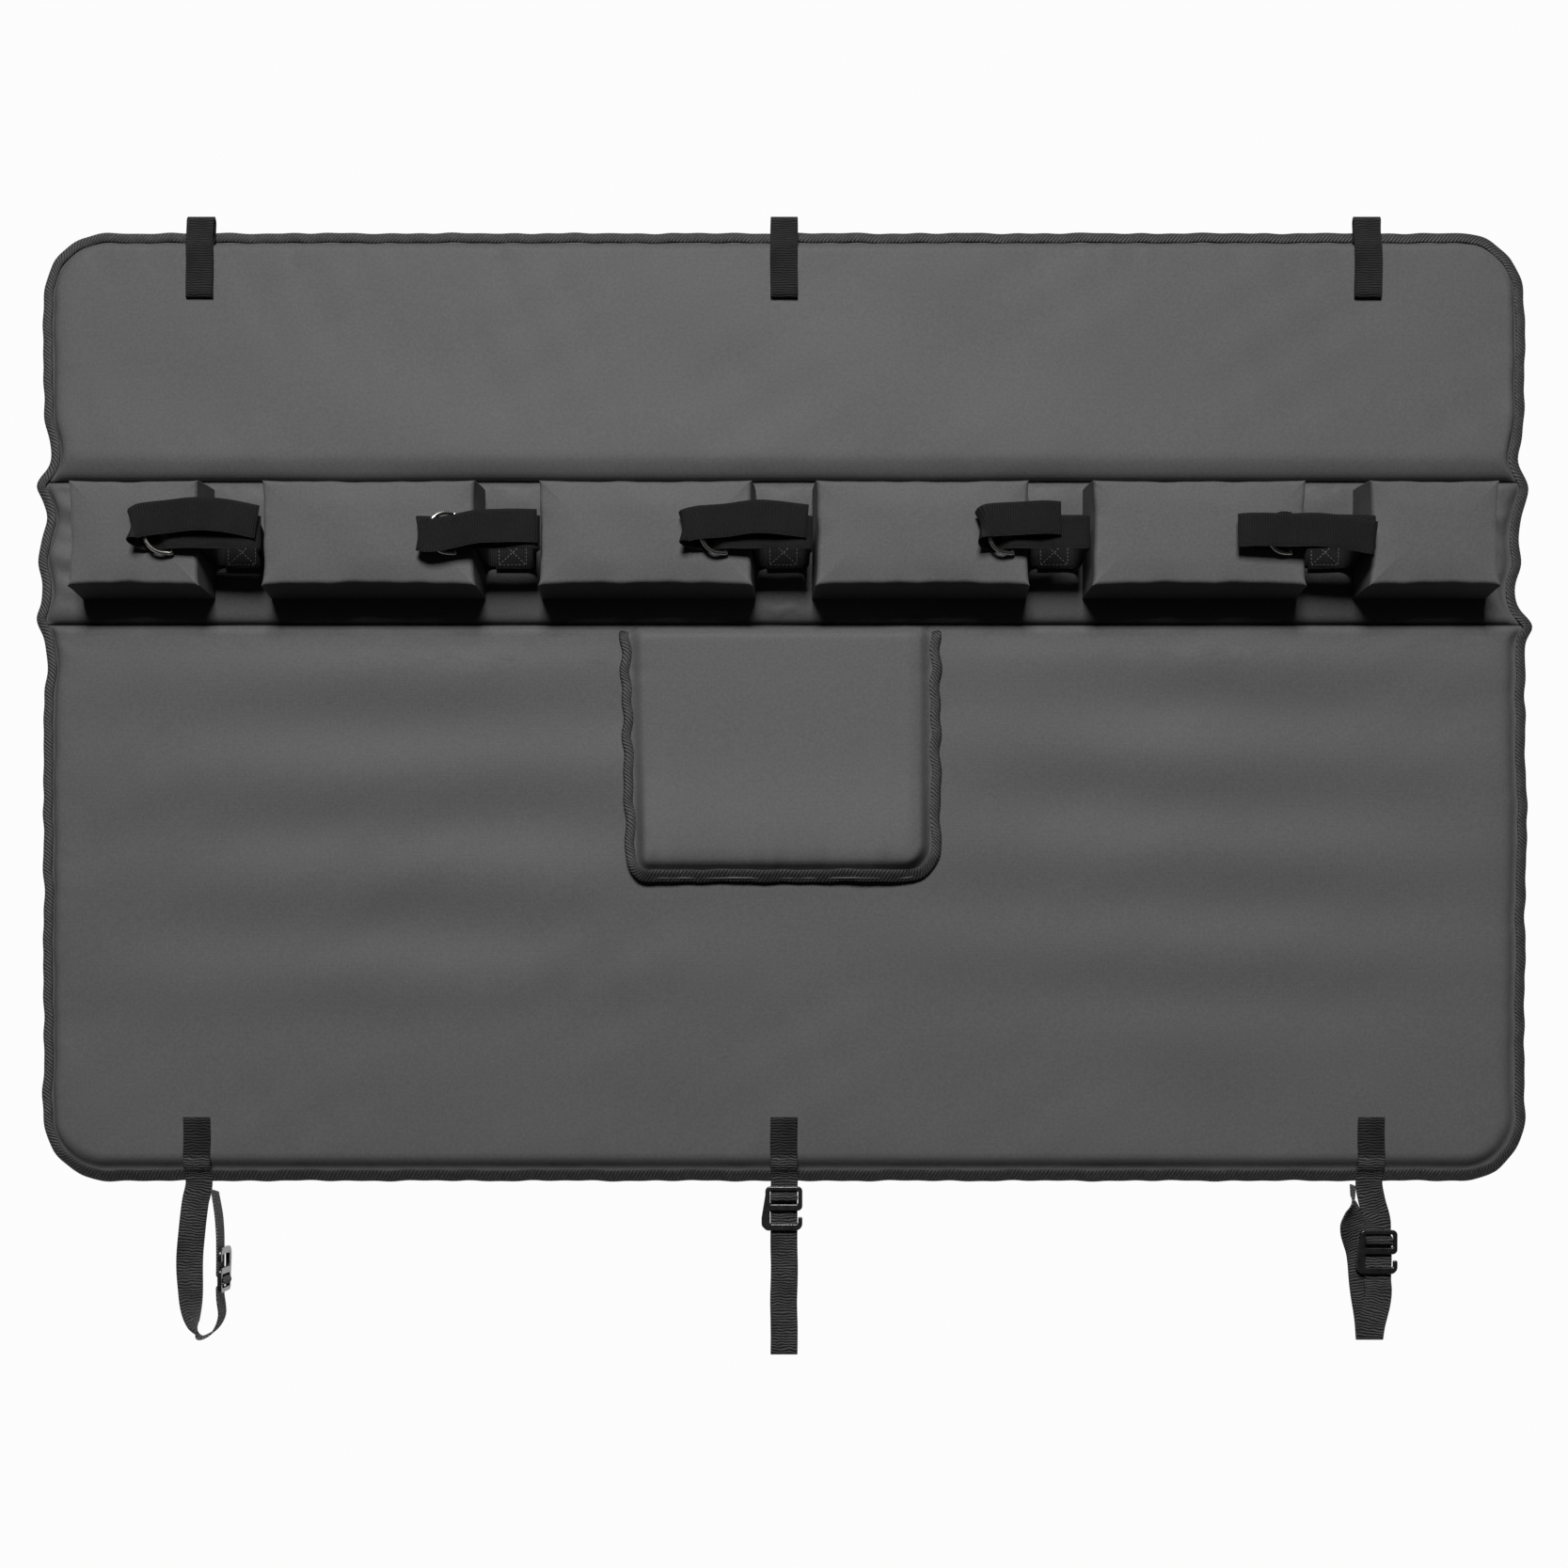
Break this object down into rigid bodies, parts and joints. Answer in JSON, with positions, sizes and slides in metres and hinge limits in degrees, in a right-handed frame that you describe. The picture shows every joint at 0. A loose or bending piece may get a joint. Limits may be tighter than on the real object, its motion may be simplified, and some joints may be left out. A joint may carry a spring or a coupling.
{
  "type": "tailgate bike pad",
  "caption": "Padded tailgate cover with a row of foam blocks, ring straps that hold bikes' down tubes, a handle flap, and hook straps that fasten it.",
  "frame": {"origin": "centre of the block strip, on the pad's underside", "axes": "+X along the pad's width, +Y from the lower panel to the upper panel, +Z out of the blocks"},
  "size_m": [1.386, 1.0528, 0.0833],
  "materials": {
    "coated_fabric": "satin coated fabric",
    "backing_cloth": "matt woven cloth",
    "foam_core": "closed-cell foam",
    "binding_tape": "woven tape",
    "strap_webbing": "ribbed webbing",
    "black_metal": "black coated",
    "nickel": "nickel plated wire"
  },
  "bodies": {
    "root": {"upper_cover": "coated_fabric", "strip_cover": "coated_fabric", "lower_cover": "coated_fabric", "flap_cover": "coated_fabric", "block_cover_1": "coated_fabric", "block_cover_2": "coated_fabric", "block_cover_3": "coated_fabric", "block_cover_4": "coated_fabric", "block_cover_5": "coated_fabric", "block_cover_6": "coated_fabric", "back_cover": "backing_cloth", "flap_back": "backing_cloth", "upper_foam": "foam_core", "strip_foam": "foam_core", "lower_foam": "foam_core", "flap_foam": "foam_core", "block_foam_1": "foam_core", "block_foam_2": "foam_core", "block_foam_3": "foam_core", "block_foam_4": "foam_core", "block_foam_5": "foam_core", "block_foam_6": "foam_core", "edge_binding": "binding_tape", "window_binding": "binding_tape", "flap_binding": "binding_tape", "bike_strap_1": "strap_webbing", "ring_keeper_1": "strap_webbing", "strap_ring_1": "nickel", "bike_strap_2": "strap_webbing", "ring_keeper_2": "strap_webbing", "strap_ring_2": "nickel", "bike_strap_3": "strap_webbing", "ring_keeper_3": "strap_webbing", "strap_ring_3": "nickel", "bike_strap_4": "strap_webbing", "ring_keeper_4": "strap_webbing", "strap_ring_4": "nickel", "bike_strap_5": "strap_webbing", "ring_keeper_5": "strap_webbing", "strap_ring_5": "nickel", "top_loop_1": "strap_webbing", "tailgate_strap_1": "strap_webbing", "strap_hook_1": "black_metal", "hook_crossbar_1": "black_metal", "top_loop_2": "strap_webbing", "tailgate_strap_2": "strap_webbing", "strap_hook_2": "black_metal", "hook_crossbar_2": "black_metal", "top_loop_3": "strap_webbing", "tailgate_strap_3": "strap_webbing", "strap_hook_3": "black_metal", "hook_crossbar_3": "black_metal"}
  },
  "joints": []
}
